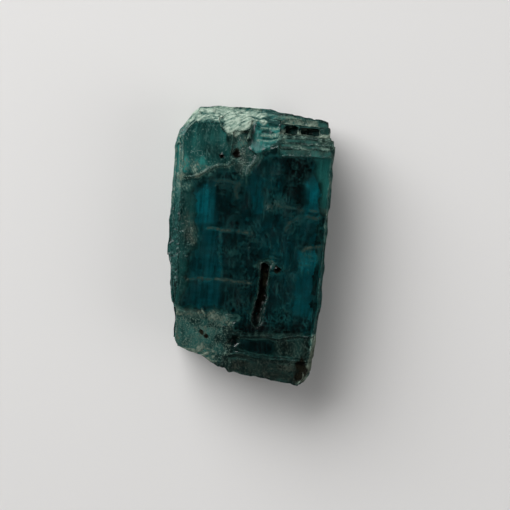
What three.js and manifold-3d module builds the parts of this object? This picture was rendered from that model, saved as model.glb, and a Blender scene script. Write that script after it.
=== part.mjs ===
// A teal kyanite crystal: one broken, tabular blade that lies on its rear cleavage face.
// Units are millimetres. +Y runs along the blade, which is the crystal's c axis, +Z is up, square to the
// broad cleavage faces, and the origin is on the resting face, under the middle of the bounding box.
// The crystal is one solid. It starts as a flat column over the blade's outline, and everything else is
// broken or cleaved off it: the leaning narrow sides, the two ends, the ledges and the thin top sheets.

import * as THREE from "three";
import { mergeVertices } from "three/addons/utils/BufferGeometryUtils.js";
import Module from "manifold-3d";

const wasm = await Module();
wasm.setup();

// Driving dimensions.
const LENGTH = 33; // along the c axis, Y
const WIDTH = 19.2; // across the broad face, X
const THICKNESS = 9; // between the two broad cleavage faces, Z
const SIDE_LEAN = THREE.MathUtils.degToRad(16); // narrow cleavage, 106 degrees from the broad one
const END_LEAN = THREE.MathUtils.degToRad(11); // parting across the blade, 101 degrees from the broad face

const TOP = THICKNESS;
const RIGHT = WIDTH / 2;
const LEFT = -WIDTH / 2;
const HEAD = LENGTH / 2; // the end at +Y
const FOOT = -LENGTH / 2; // the end at -Y
const REACH = 4 * LENGTH; // a cutting block this large passes every side of the crystal
const SIDE_SLOPE = Math.tan(SIDE_LEAN);
const END_SLOPE = Math.tan(END_LEAN);

// The broad face lies this far under TOP, where a thin sheet has come away.
const SHEET = 0.12;

const MIDDLE = new THREE.Vector3(0, 0, THICKNESS / 2);
const UP = new THREE.Vector3(0, 0, 1);

// ---------------------------------------------------------------- solids and cutters

function solidOf(geometry) {
  geometry.deleteAttribute("normal");
  geometry.deleteAttribute("uv");
  const merged = mergeVertices(geometry, 1e-4);
  return new wasm.Manifold(
    new wasm.Mesh({
      numProp: 3,
      vertProperties: merged.attributes.position.array,
      triVerts: new Uint32Array(merged.index.array),
    }),
  );
}

function geometryOf(solid) {
  const mesh = solid.getMesh();
  const geometry = new THREE.BufferGeometry();
  geometry.setAttribute("position", new THREE.BufferAttribute(mesh.vertProperties, 3));
  geometry.setIndex(new THREE.BufferAttribute(mesh.triVerts, 1));
  geometry.computeVertexNormals();
  return geometry;
}

// The upright column over an outline seen from above, from one height to another.
function column(outline, low, high) {
  const shape = new THREE.Shape(outline.map(([x, y]) => new THREE.Vector2(x, y)));
  const geometry = new THREE.ExtrudeGeometry(shape, { depth: high - low, bevelEnabled: false });
  return solidOf(geometry.translate(0, 0, low));
}

// Everything beyond the plane through three points, on its side away from the crystal's middle.
function beyond(...points) {
  const [a, b, c] = points.map((p) => new THREE.Vector3(...p));
  const plane = new THREE.Plane().setFromCoplanarPoints(a, b, c);
  if (plane.distanceToPoint(MIDDLE) > 0) plane.negate();
  const block = new THREE.BoxGeometry(REACH, REACH, REACH);
  block.translate(0, 0, REACH / 2);
  block.applyQuaternion(new THREE.Quaternion().setFromUnitVectors(UP, plane.normal));
  return solidOf(block.translate(...a.toArray()));
}

// A shallow break in the broad face: a sheet of this depth is gone inside the outline.
const sheetOff = (outline, depth) => column(outline, TOP - depth, TOP + 1);

// A sloping break in the broad face: inside the outline, all that is beyond the plane through the points.
const slopeOff = (outline, ...points) => column(outline, -1, TOP + 1).intersect(beyond(...points));

// ---------------------------------------------------------------- the blade and what is gone from it

// Seen from above, clockwise from the head's left corner.
const BLADE = [
  [-8.1, 15.0], [-7.7, 15.5], [-7.0, 16.1], [-5.2, 16.3], [-2.8, HEAD], [0.4, HEAD], // head, left half
  [2.0, 16.4], [2.7, 16.2], [5.0, 16.0], [6.8, 15.8], [8.1, 15.6], [8.7, 15.3], // head, right half
  [8.85, 14.4], [8.95, 13.4], [9.4, 13.2], [RIGHT, 12.6], // the ledge that the right corner steps in by
  [RIGHT, 11.2], [9.5, -7.0], [9.55, -10.6], [9.45, -11.9], [9.15, -13.4], [8.9, -15.1], // right side
  [8.4, -16.0], [7.7, FOOT], [6.6, FOOT], [4.8, -16.2], [1.7, -15.9], [-0.5, -15.5], [-1.8, -15.5], // foot
  [-2.2, -15.0], [-3.0, -14.5], [-3.9, -13.9], [-5.1, -13.5], // the foot's hollow
  [-6.7, -13.3], [-7.5, -13.1], [-7.9, -12.0], [-8.05, -9.2], // the foot's left corner
  [-8.3, -8.0], [-8.5, -7.8], [-8.7, -6.8], [-8.95, -5.6], // the thin blade down the left side
  [-9.0, -3.6], [-9.25, -2.9], [-9.45, -1.5], [-9.5, 0.3], [LEFT, 5.7], [LEFT, 9.6], // left side
  [-9.5, 12.0], [-9.25, 13.0], [-8.6, 14.0], [-8.25, 14.5],
];

// The two narrow cleavage sides lean alike: the left one faces up, and the right one faces down.
function narrowSides() {
  const rim = 0.8; // height of the right side's upper bevel
  return [
    beyond([-8.6, 12, TOP], [-7.7, -8.5, TOP], [-8.6 - TOP * SIDE_SLOPE, 12, 0]),
    beyond([RIGHT, HEAD, TOP - rim], [RIGHT, FOOT, TOP - rim], [RIGHT - (TOP - rim) * SIDE_SLOPE, 0, 0]),
    beyond([9.2, HEAD, TOP], [9.1, FOOT, TOP], [RIGHT, 0, TOP - rim]),
  ];
}

// Cleavage ledges run the length of the left side, each lower one standing further out.
function leftLedges() {
  const out = LEFT - 1;
  return [
    column(
      [[out, 12.2], [-8.75, 12.0], [-8.6, 9.8], [-8.7, 4.2], [-8.45, 1.0], [-8.5, -2.4], [out, -2.6]],
      7.7,
      TOP + 1,
    ),
    column([[out, 11.6], [-9.05, 11.2], [-9.0, 5.6], [-8.8, 2.2], [-8.85, -0.6], [out, -0.9]], 6.1, TOP + 1),
    column([[out, 9.6], [-9.35, 9.2], [-9.3, 3.4], [-9.15, -1.0], [out, -1.2]], 4.4, TOP + 1),
    // The thin blade along the lower left is all that is left of the rearmost layer there.
    column(
      [
        [out, -2.0], [-9.0, -2.2], [-8.6, -3.4], [-8.35, -5.5], [-8.0, -7.6],
        [-7.6, -9.4], [-7.5, -12.0], [-7.1, -13.4], [out, -14],
      ],
      1.8,
      TOP + 1,
    ),
    column([[out, 4.8], [-9.2, 4.4], [-9.05, -1.0], [-8.7, -4.6], [out, -4.8]], 2.6, 3.5),
  ];
}

// The right side steps along two partings of the broad cleavage.
function rightLedges() {
  const out = RIGHT + 1;
  return [
    column([[out, 15], [9.0, 14.6], [8.7, 8.2], [8.8, -1.0], [8.5, -5.4], [out, -5.8]], 5.4, 6.6),
    column([[out, 6.4], [8.2, 6.0], [8.05, -4.0], [8.2, -11.4], [out, -11.8]], 2.9, 4.3),
    column([[out, 17], [7.3, 17], [7.1, 9.2], [7.35, 1.4], [out, 1.0]], -1, 1.5),
  ];
}

// The head's left half is a steep rough break, with a facet round its corner.
function headBreak() {
  return [
    beyond([-7.2, 14.0, TOP], [-2.5, 13.9, TOP], [-5.0, 16.3, 4.0]),
    beyond([-8.6, 12.1, TOP], [-7.2, 14.1, TOP], [-8.9, 13.9, 3.6]),
    column([[-10, 16.0], [-6.3, 15.9], [-2.2, 16.1], [0.6, 16.0], [0.9, 17], [-10, 17]], 3.2, TOP + 1),
    column([[2.6, 15.5], [6.1, 15.3], [10, 14.8], [10, 17], [2.6, 17]], -1, 2.2),
  ];
}

// Two chips bite the head's middle: a pale splintered one, and one whose floor falls in ripples.
function headChips() {
  const splintered = [
    [-4.4, 17], [-4.3, 14.2], [-4.0, 13.3], [-3.5, 12.8], [-2.4, 12.7],
    [-1.9, 13.3], [-1.0, 13.5], [-0.3, 13.9], [-0.1, 17],
  ];
  const rippled = [
    [-0.6, 17], [-0.5, 13.4], [-0.8, 12.3], [-0.6, 11.3], [0.4, 10.7],
    [1.3, 11.3], [2.4, 12.1], [3.1, 12.8], [3.0, 17],
  ];
  const ripples = [0, 1, 2, 3].map((i) => {
    const y = 12.0 + 1.05 * i;
    const depth = 0.55 + 0.6 * i;
    return sheetOff([[0.2, y], [1.7, y - 0.15], [3.0, y + 0.1], [3.0, 17], [0.2, 17]], depth);
  });
  return [
    slopeOff(splintered, [-4.4, 12.8, TOP - 0.3], [0, 13.2, TOP - 0.5], [-2, HEAD, TOP - 3.4]),
    slopeOff(rippled, [-0.6, 11.0, TOP - 0.2], [3.0, 11.8, TOP - 0.35], [1, HEAD, TOP - 2.7]),
    ...ripples,
  ];
}

// The head's right half goes down in steps along the cross parting, with two pockets in one tread.
function headSteps() {
  const left = 3.0;
  const out = RIGHT + 1;
  const step = (yLeft, yRight, depth) => {
    const edge = [[left, yLeft], [5.2, yLeft - 0.05], [7.4, yRight], [out, yRight + 0.05]];
    return sheetOff([...edge, [out, 17], [left, 17]], depth);
  };
  return [
    step(10.8, 10.95, 0.3),
    step(11.75, 11.85, 0.75),
    step(12.45, 12.4, 1.1),
    step(13.15, 13.05, 2.1),
    step(14.75, 14.65, 3.5),
    sheetOff([[3.5, 13.5], [4.9, 13.5], [4.9, 14.35], [3.5, 14.45]], 3.2),
    sheetOff([[5.4, 13.55], [7.6, 13.6], [7.5, 14.35], [5.4, 14.35]], 3.4),
    column([[4.6, 15.55], [7.0, 15.4], [7.0, 17], [4.6, 17]], 3.4, TOP),
  ];
}

// Thin sheets have split off the broad face, each up to a ragged edge.
function frontSheets() {
  const mainFace = [
    [-11, 7.0], [-8.3, 7.2], [-7.1, 7.4], [-6.3, 7.7], [-5.4, 8.2], [-4.7, 8.6], [-3.8, 8.9],
    [-2.7, 9.1], [-2.4, 9.7], [-2.2, 10.4], [-0.6, 10.8], [0.4, 10.9], [1.3, 11.6], [3.05, 13.1],
    [11, 13.3], [11, -17], [-11, -17],
  ];
  const shallowScar = [
    [-2.6, 13.0], [-2.5, 10.6], [-2.2, 9.2], [-1.3, 7.9], [-0.8, 7.4], [-0.3, 8.7],
    [0.3, 9.6], [0.8, 10.5], [0.4, 10.7], [-0.6, 11.3], [-0.9, 13.3],
  ];
  return [
    sheetOff(mainFace, SHEET),
    slopeOff(shallowScar, [-2.4, 12.4, TOP - 0.5], [1, 11, TOP - 0.45], [-0.8, 7.2, TOP - SHEET]),
  ];
}

// The foot's end of the broad face is worn down: a sloping facet on the left and two steps on the right.
function footWear() {
  const facet = [
    [-11, -8.5], [-7.3, -8.7], [-5.7, -8.8], [-4.0, -9.0], [-3.4, -10.1], [-2.1, -10.2], [-1.4, -9.8],
    [-1.1, -11.5], [-1.0, -13.0], [-1.4, -13.6], [-1.6, -17], [-11, -17],
  ];
  const flake = [
    [-4.0, -8.8], [-2.5, -8.1], [-1.3, -8.4], [-0.2, -9.1], [-0.6, -9.6], [-2.1, -10.2], [-3.4, -10.1],
  ];
  const lowerRight = [
    [-1.0, -11.0], [0.2, -11.2], [2.6, -10.9], [5.0, -10.9], [7.3, -10.5],
    [11, -10.4], [11, -17], [-1.6, -17],
  ];
  const footStep = [[-1.4, -13.4], [0.9, -13.2], [3.8, -13.6], [11, -13.4], [11, -17], [-1.8, -17]];
  return [
    slopeOff(facet, [-7.3, -8.7, TOP - 0.2], [-1.2, -9.2, TOP - 0.3], [-5.0, -13.3, TOP - 1.5]),
    slopeOff(flake, [-4.0, -8.8, TOP - 0.2], [-0.2, -9.1, TOP - 0.15], [-2.1, -10.2, TOP - 0.55]),
    slopeOff(lowerRight, [-1.0, -11.0, TOP - 0.3], [9.0, -10.5, TOP - 0.35], [4.0, FOOT, TOP - 0.8]),
    slopeOff(footStep, [-1.4, -13.4, TOP - 0.75], [9.0, -13.4, TOP - 0.75], [4.0, FOOT, TOP - 1.35]),
    column([[-1.0, -11.2], [-0.2, -11.0], [0.1, -12.0], [-0.4, -12.7], [-1.0, -12.5]], TOP - 1.15, TOP + 1),
  ];
}

// The foot is an undercut parting with ledges, and chips run up the right side from its corner.
function footBreak() {
  return [
    beyond([-1.8, -15.3, TOP - 1.5], [7.7, FOOT, TOP - 1.5], [3.0, -15.8 + TOP * END_SLOPE, 0]),
    beyond([8.7, -10.6, TOP], [8.0, FOOT, TOP], [9.5, -13.0, TOP - 2.2]),
    beyond([8.6, -14.2, TOP], [7.2, FOOT, TOP], [8.9, -15.4, TOP - 3.6]),
    slopeOff(
      [[-11, -10.5], [-4.6, -10.8], [-4.5, -17], [-11, -17]],
      [-7.9, -12.65, TOP - 2],
      [-5.0, -13.6, TOP - 2],
      [-6.2, -12.45, 0],
    ),
    column([[1.6, -13.9], [4.4, -14.2], [7.9, -14.0], [11, -13.8], [11, -17], [1.6, -17]], -1, 2.4),
    column([[-3.2, -13.1], [0.6, -13.6], [1.6, -13.5], [1.6, -17], [-3.2, -17]], -1, 3.3),
    column([[2.2, -15.1], [6.1, -15.3], [6.1, -17], [2.2, -17]], 4.6, 5.9),
    column([[-8.6, -11.4], [-6.9, -12.1], [-4.2, -12.6], [-4.2, -17], [-8.6, -17]], -1, 1.4),
  ];
}

// A narrow weathered groove runs down the face, and a few grains have dropped out and left pits.
function grooveAndPits() {
  const groove = [
    [2.15, -2.3], [2.5, -2.2], [2.85, -2.7], [2.85, -4.2], [2.75, -6.3], [2.35, -8.0], [2.25, -9.4],
    [1.95, -9.8], [1.65, -9.3], [1.7, -8.0], [2.05, -6.2], [2.15, -4.0],
  ];
  const pits = [
    { x: -2.1, y: 10.5, radius: 0.34, depth: 0.8 },
    { x: -3.8, y: 10.1, radius: 0.18, depth: 0.35 },
    { x: 4.0, y: -2.8, radius: 0.3, depth: 0.6 },
    { x: -4.4, y: -11.0, radius: 0.2, depth: 0.9 },
    { x: -3.8, y: -11.4, radius: 0.16, depth: 0.9 },
    { x: 6.3, y: 14.0, radius: 0.25, depth: 3.7 },
  ];
  const corners = [0, 1, 2, 3, 4, 5];
  const pitOutline = ({ x, y, radius }) =>
    corners.map((i) => {
      const angle = -(i / corners.length) * 2 * Math.PI;
      const reach = radius * (i % 2 ? 1.15 : 0.85);
      return [x + reach * Math.cos(angle), y + reach * Math.sin(angle)];
    });
  return [sheetOff(groove, 1.1), ...pits.map((pit) => sheetOff(pitOutline(pit), pit.depth))];
}

// The resting face keeps one broad flat, with sheets missing round its rim.
function undersideChips() {
  const off = (outline, depth) => column(outline, -1, depth);
  return [
    off([[-10, 17], [-10, 11.4], [-7.4, 12.0], [-5.2, 13.6], [-2.6, 14.1], [-2.2, 17]], 0.5),
    off([[-10, 3.2], [-8.8, 2.8], [-8.3, -1.2], [-8.6, -4.4], [-10, -4.8]], 0.35),
    off([[4.2, -17], [4.6, -12.6], [6.0, -11.2], [6.3, -8.2], [10, -7.6], [10, -17]], 0.45),
    off([[5.9, 10.2], [6.6, 6.8], [6.2, 3.4], [10, 2.6], [10, 11.0]], 0.3),
  ];
}

function crystal() {
  const broken = [
    ...narrowSides(),
    ...leftLedges(),
    ...rightLedges(),
    ...headBreak(),
    ...headChips(),
    ...headSteps(),
    ...frontSheets(),
    ...footWear(),
    ...footBreak(),
    ...grooveAndPits(),
    ...undersideChips(),
  ];
  return broken.reduce((solid, piece) => solid.subtract(piece), column(BLADE, 0, THICKNESS));
}

// ---------------------------------------------------------------- the model

const kyanite = new THREE.Mesh(
  geometryOf(crystal()),
  new THREE.MeshStandardMaterial({ color: 0x10484a, roughness: 0.25, metalness: 0 }),
);
kyanite.name = "kyanite_crystal";

const specimen = new THREE.Group();
specimen.add(kyanite);

export default specimen;
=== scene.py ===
"""The looks of a teal kyanite crystal that lies on its rear cleavage face, seen from above.

Points, outlines and lengths are in millimetres in the model's own frame, where +Y runs along the crystal
and +Z is up. Meshes are scaled to metres when they are made.
"""

import functools
import math
from itertools import product

import bpy
import numpy as np
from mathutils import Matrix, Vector
from mathutils.bvhtree import BVHTree


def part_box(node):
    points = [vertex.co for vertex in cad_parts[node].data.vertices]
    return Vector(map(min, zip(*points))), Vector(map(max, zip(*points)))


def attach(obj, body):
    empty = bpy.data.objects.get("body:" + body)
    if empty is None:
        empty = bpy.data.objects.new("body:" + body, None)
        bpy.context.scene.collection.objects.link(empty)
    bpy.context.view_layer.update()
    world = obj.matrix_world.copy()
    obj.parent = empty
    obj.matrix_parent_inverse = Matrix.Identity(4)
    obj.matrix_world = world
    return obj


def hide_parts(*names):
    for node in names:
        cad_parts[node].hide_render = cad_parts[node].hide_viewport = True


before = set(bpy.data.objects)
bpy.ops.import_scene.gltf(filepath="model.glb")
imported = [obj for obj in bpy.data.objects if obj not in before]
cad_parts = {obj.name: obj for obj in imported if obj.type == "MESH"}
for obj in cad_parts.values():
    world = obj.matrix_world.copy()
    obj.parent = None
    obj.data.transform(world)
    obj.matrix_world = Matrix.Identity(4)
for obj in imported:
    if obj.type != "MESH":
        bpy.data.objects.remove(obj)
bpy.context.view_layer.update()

MM = 0.001
NODE = "kyanite_crystal"
LOW, HIGH = (np.array(corner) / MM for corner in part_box(NODE))
TOP = HIGH[2]
LONG = 60  # a grain so long that the noise hardly changes along its axis


# ---------------------------------------------------------------- noise


def smooth(value, start, end):
    """0 before start, 1 after end, and an S-shaped change between them."""
    t = np.clip((value - start) / (end - start), 0, 1)
    return t * t * (3 - 2 * t)


def most(*values):
    """The largest of several values at each point."""
    return functools.reduce(np.maximum, values)


def lattice(cells, seed):
    """A repeatable value from 0 to 1 for each whole-numbered cell."""
    n = cells[:, 0] * 73856093 ^ cells[:, 1] * 19349663 ^ cells[:, 2] * 83492791 ^ (seed + 1) * 49979687
    n = (n ^ (n >> 13)) * 1274126177
    n = n ^ (n >> 16)
    return (n & 0xFFFF) / 0xFFFF


def noise(points, grain, seed):
    """Value noise from 0 to 1, whose bumps are as long as grain along X, Y and Z."""
    scaled = points / np.array(grain, float)
    base = np.floor(scaled)
    t = smooth(scaled - base, 0, 1)
    cells = base.astype(np.int64)
    total = np.zeros(len(points))
    for corner in product((0, 1), repeat=3):
        weight = np.prod(np.where(corner, t, 1 - t), axis=1)
        total += weight * lattice(cells + corner, seed)
    return total


def shards(points, size, seed):
    """A value near 0 to 1 that steps and tilts from one broken fragment to the next, as rubble does."""
    scaled = points / np.array(size, float)
    base = np.floor(scaled).astype(np.int64)
    nearest = np.full(len(points), np.inf)
    height = np.zeros(len(points))
    for corner in product((-1, 0, 1), repeat=3):
        cell = base + corner
        jitter = np.stack([lattice(cell, seed + k) for k in range(3)], axis=1)
        offset = scaled - cell - jitter
        away = np.sum(offset * offset, axis=1)
        tilt = np.stack([lattice(cell, seed + 3 + k) - 0.5 for k in range(3)], axis=1)
        closer = away < nearest
        nearest = np.where(closer, away, nearest)
        height = np.where(closer, lattice(cell, seed + 6) + np.sum(tilt * offset, axis=1), height)
    return height


def terraces(value, count, riser):
    """A value from 0 to 1 cut into flat treads, with risers that take this share of each step."""
    scaled = value * count
    tread = np.floor(scaled)
    return (tread + smooth(scaled - tread, 1 - riser, 1)) / count


# ---------------------------------------------------------------- shapes on the broad face, seen from above

MARGIN = 2  # no shape reaches further than this past the box of its outline, so other points are skipped
FIRST_SEED = 31  # for the first shape of a list, and the ones after it count up


def distance_to_line(points, line, closed=False):
    """How far each point is, seen from above, from a line through the given corners."""
    corners = np.array(line, float)
    ends = np.roll(corners, -1, axis=0) if closed else corners[1:]
    best = np.full(len(points), np.inf)
    for a, b in zip(corners, ends):
        along = b - a
        t = np.clip(((points[:, :2] - a) @ along) / (along @ along), 0, 1)
        best = np.minimum(best, np.linalg.norm(points[:, :2] - a - t[:, None] * along, axis=1))
    return best


def depth_inside(points, outline):
    """How deep each point is inside an outline seen from above, less than 0 outside it."""
    corners = np.array(outline, float)
    x, y = points[:, 0], points[:, 1]
    inside = np.zeros(len(points), bool)
    for (ax, ay), (bx, by) in zip(corners, np.roll(corners, -1, axis=0)):
        if ay != by:
            crosses = (ay > y) != (by > y)
            inside ^= crosses & (x < (bx - ax) * (y - ay) / (by - ay) + ax)
    return np.where(inside, 1, -1) * distance_to_line(points, outline, closed=True)


def jagged(points, reach, seed):
    """Points shifted so that an edge drawn through them breaks into fibres along Y with square ends."""
    moved = points.copy()
    moved[:, 0] += 1.2 * reach * (noise(points, (1.4, 1.1, LONG), seed + 1) - 0.5)
    moved[:, 1] += 1.6 * reach * (noise(points, (1.0, 1.6, LONG), seed + 2) - 0.5)
    moved[:, 1] += 0.8 * reach * (noise(points, (0.22, 2.0, LONG), seed) - 0.5)
    moved[:, 0] += 0.5 * reach * (noise(points, (3.0, 0.3, LONG), seed + 3) - 0.5)
    return moved


def patch(points, outline, edge, jag, seed):
    """1 inside an outline on the broad face and 0 outside it, over a splintered edge of this width."""
    depth = depth_inside(jagged(points, jag, seed), outline)
    return smooth(depth, -edge / 2, edge / 2)


def stroke(points, line, width, seed):
    """1 along a line on the broad face and 0 beside it, broken up along its length."""
    away = distance_to_line(jagged(points, width, seed), line)
    unbroken = smooth(noise(points, (0.35, 0.35, LONG), seed), 0.1, 0.7)
    return (1 - smooth(away, 0.2 * width, width)) * unbroken


def near_line(points, line, reach, seed):
    """1 beside a line on the broad face, and 0 further from it than this reach."""
    away = distance_to_line(points, line) + 0.5 * reach * noise(points, (0.9, 0.9, LONG), seed)
    return 1 - smooth(away, 0.4 * reach, reach)


def strongest(points, front, shapes, draw):
    """The largest of several shapes on the broad face, each drawn at its own strength."""
    total = np.zeros(len(points))
    for seed, (outline, strength, *form) in enumerate(shapes, FIRST_SEED):
        low, high = np.min(outline, axis=0) - MARGIN, np.max(outline, axis=0) + MARGIN
        near = np.flatnonzero(np.all((points[:, :2] > low) & (points[:, :2] < high), axis=1))
        total[near] = np.maximum(total[near], strength * draw(points[near], outline, *form, seed))
    return total * front


def each(outlines, *form):
    """Several outlines or lines, with the same strength and form for each."""
    return tuple((outline, *form) for outline in outlines)


def above_mid(points):
    """1 on the upper part of the crystal, which holds the broad face, and 0 below."""
    return smooth(points[:, 2] + 3 * noise(points, (2.5, 3.5, LONG), 40), TOP - 5.0, TOP - 3.0)


def strayed(points):
    """Points moved more the deeper they lie, so that shapes of the broad face break up down the sides."""
    moved = points.copy()
    deep = smooth(TOP - points[:, 2], 1.0, 3.5)
    moved[:, 0] += 2.5 * deep * (noise(points, (LONG, LONG, 1.1), 37) - 0.5)
    moved[:, 1] += 3.5 * deep * (noise(points, (LONG, LONG, 1.3), 38) - 0.5)
    moved[:, 1] += 2.5 * deep * (noise(points, (LONG, 1.5, 0.5), 39) - 0.5)
    return moved


# ---------------------------------------------------------------- outlines on the broad face

# The head: a rough pale break, a chip beside it, the rippled scar, and the stairs at the right.
HEAD_BREAK = [
    (-9.5, 11.9), (-8.9, 12.6), (-8.5, 13.5), (-8.0, 14.1), (-5.7, 14.2), (-4.2, 14.2), (-3.9, 13.3),
    (-3.2, 12.9), (-2.4, 12.7), (-1.7, 13.3), (-0.8, 13.8), (-0.2, 14.8), (0.4, 15.4), (1.5, 15.9),
    (1.7, 17), (-11, 17), (-11, 12),
]
HEAD_TIP = [(-1.0, 13.9), (0.4, 14.3), (1.8, 14.6), (2.6, 15.0), (2.4, 16.8), (-1.0, 16.8)]
HEAD_CORNER = [(-9.8, 11.8), (-9.0, 11.8), (-8.2, 13.5), (-7.3, 14.3), (-8.0, 15.4), (-9.8, 14.2)]
GREY_CHIP = [
    (-3.2, 13.2), (-3.0, 11.4), (-2.4, 10.4), (-2.0, 9.0), (-1.0, 7.6), (-0.2, 8.8), (0.6, 10.4),
    (-0.4, 11.4), (-0.6, 12.8), (-0.2, 14.4), (-1.6, 13.6),
]
RIPPLES = [
    (-0.4, 17), (-0.2, 14.2), (-0.6, 12.8), (-0.6, 11.4), (0.4, 10.7), (1.4, 11.3), (2.5, 12.2),
    (3.1, 12.9), (3.1, 17),
]
# The ripples' troughs are painted dark as shade, and their crests pale as highlights.
RIPPLE_TROUGHS = (
    [(1.5, 14.25), (2.2, 14.2), (2.9, 14.3)], [(0.8, 13.25), (1.4, 13.3), (2.1, 13.2)],
    [(0.9, 12.65), (1.9, 12.65), (2.8, 12.95)], [(1.5, 15.4), (2.0, 15.1), (2.7, 15.3)],
    [(0.4, 15.2), (1.2, 15.0), (2.4, 14.95)], [(0.4, 13.9), (0.9, 13.9), (1.5, 13.75)],
)
RIPPLE_CRESTS = (
    [(0.5, 14.55), (1.6, 14.65), (2.8, 14.8)], [(0.7, 12.95), (1.9, 12.93), (2.9, 13.3)],
    [(0.3, 12.35), (1.8, 12.35), (2.7, 12.7)], [(0.6, 13.6), (1.6, 13.65), (2.7, 13.8)],
    [(1.9, 15.65), (2.7, 15.8)], [(0.2, 15.5), (1.2, 15.3)],
)
# White streaks of the break, brightest as painted highlights along the upper rim, which faces the light.
WHITE_STREAKS = (
    [(-0.4, 14.9), (-0.9, 15.0), (-1.6, 14.5), (-2.1, 13.9), (-2.6, 13.1)],
    [(-4.4, 15.6), (-3.8, 15.3), (-3.4, 15.9), (-2.2, 16.0), (-1.3, 16.2)],
    [(-7.2, 16.2), (-6.4, 15.7), (-5.6, 15.9)],
    [(-3.4, 14.8), (-2.8, 14.2), (-3.4, 13.4)],
)
HEAD_STAIRS = [(3.0, 17), (3.0, 10.9), (10, 11.0), (10, 17)]
STAIR_TOP = [(3.0, 15.7), (8.4, 15.4), (8.4, 14.5), (3.0, 14.7)]
# The stairs' ledge edges are painted pale as highlights, and the gaps between them dark as shade.
STAIR_EDGES = ([(3.0, 14.95), (5.6, 14.75), (8.3, 14.6)], [(3.0, 13.4), (6.0, 13.35), (9.0, 13.3)])
STAIR_GAPS = (
    [(3.0, 12.95), (6.0, 13.0), (9.2, 12.95)], [(3.2, 12.3), (6.0, 12.35), (9.3, 12.2)],
    [(3.2, 11.65), (5.6, 11.8), (9.3, 11.75)],
)

# The long flat middle: the sheet left standing at the upper left, the margins, and where it is veiled.
UPPER_LEFT_SHEET = [
    (-8.5, 13.4), (-8.6, 7.3), (-7.1, 7.4), (-6.3, 7.7), (-5.4, 8.2), (-4.7, 8.6), (-3.8, 8.9),
    (-2.6, 9.2), (-2.4, 10.2), (-2.9, 11.6), (-3.4, 13.4), (-5.0, 14.1), (-7.4, 14.0),
]
SHEET_SCUFF = [(-7.4, 9.7), (-6.4, 9.7), (-6.2, 8.2), (-5.7, 7.6), (-7.2, 7.1)]
BELOW_SHEET = [(-8.8, 7.4), (-7.2, 7.5), (-6.4, 7.4), (-7.0, 6.2), (-7.8, 5.2), (-8.8, 4.8)]
LEFT_MARGIN = [
    (-8.7, 7.2), (-7.1, 7.3), (-6.6, 5.0), (-6.9, 3.2), (-6.1, 1.4), (-6.0, -0.6), (-6.9, -2.2),
    (-6.8, -5.4), (-7.0, -8.4), (-7.6, -8.6), (-8.3, -2.0),
]
LEFT_FLAKE = [(-7.6, 2.9), (-6.7, 3.1), (-6.2, 1.3), (-5.9, -0.2), (-6.4, -1.0), (-7.2, -0.4)]
MIDDLE_VEIL = [
    (-4.5, 7.0), (-2.4, 8.6), (-0.9, 7.2), (-0.8, 3.4), (0.8, 2.6), (0.9, -1.2), (-0.3, -3.4),
    (0.4, -6.0), (-2.2, -6.8), (-3.6, -4.8), (-3.4, 1.2), (-4.6, 3.0),
]
RIGHT_MARGIN = [(7.2, 10.9), (9.3, 10.9), (9.3, 4.4), (8.4, 4.4), (8.0, 8.0)]
RIGHT_VEIL = [(1.4, 5.4), (3.0, 6.0), (4.3, 5.0), (3.9, 3.9), (2.2, 3.7)]
# Where the crystal's inside is unlit: painted dark as shade on its surface and on the film.
NIGHT = [(3.6, 10.6), (7.2, 10.8), (6.7, 8.4), (6.2, 5.0), (5.4, 4.6), (4.2, 6.6)]
LOWER_NIGHT = [
    (-0.6, -9.4), (1.6, -8.9), (3.4, -9.6), (6.8, -9.0), (7.4, -10.7), (2.4, -11.1), (-0.8, -11.0),
]

# The foot: the worn facet at the left, the two steps at the right, and the soil on them.
LOWER_LEFT_FACET = [
    (-8.4, -8.7), (-5.7, -8.8), (-4.0, -9.0), (-2.4, -8.3), (-0.9, -8.8), (-1.2, -10.4), (-1.1, -13.2),
    (-2.0, -15.4), (-8.4, -13.4),
]
WHITE_FLAKE = [(-4.2, -9.0), (-3.3, -10.1), (-2.1, -10.1), (-0.4, -9.5), (-1.3, -8.6), (-2.5, -8.2)]
FACET_TOP = [(-7.9, -8.5), (-4.4, -8.5), (-4.2, -9.1), (-7.9, -9.2)]
FACET_SHADE = [(-3.2, -10.8), (-1.6, -10.4), (-1.5, -12.8), (-3.0, -12.2)]
# The foot's band and end hold soil, and are also painted dark as shade; under the band the film is painted
# dark as well.
FOOT_BAND = [
    (-1.0, -11.3), (2.5, -11.1), (7.2, -10.8), (9.6, -10.2), (9.2, -13.2), (3.8, -13.5), (-1.2, -13.2),
]
FOOT_END = [(-1.4, -13.5), (2.5, -13.5), (6.8, -13.3), (9.2, -13.0), (8.6, -16.4), (-2.4, -15.8)]
BROWN_CORNER = [(7.2, -12.4), (8.0, -12.2), (8.2, -14.2), (7.9, -16.2), (7.1, -16.4), (6.9, -14.4)]
FOOT_SOIL = [(4.2, -10.6), (8.4, -10.4), (8.6, -13.4), (4.4, -13.2)]

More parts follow.
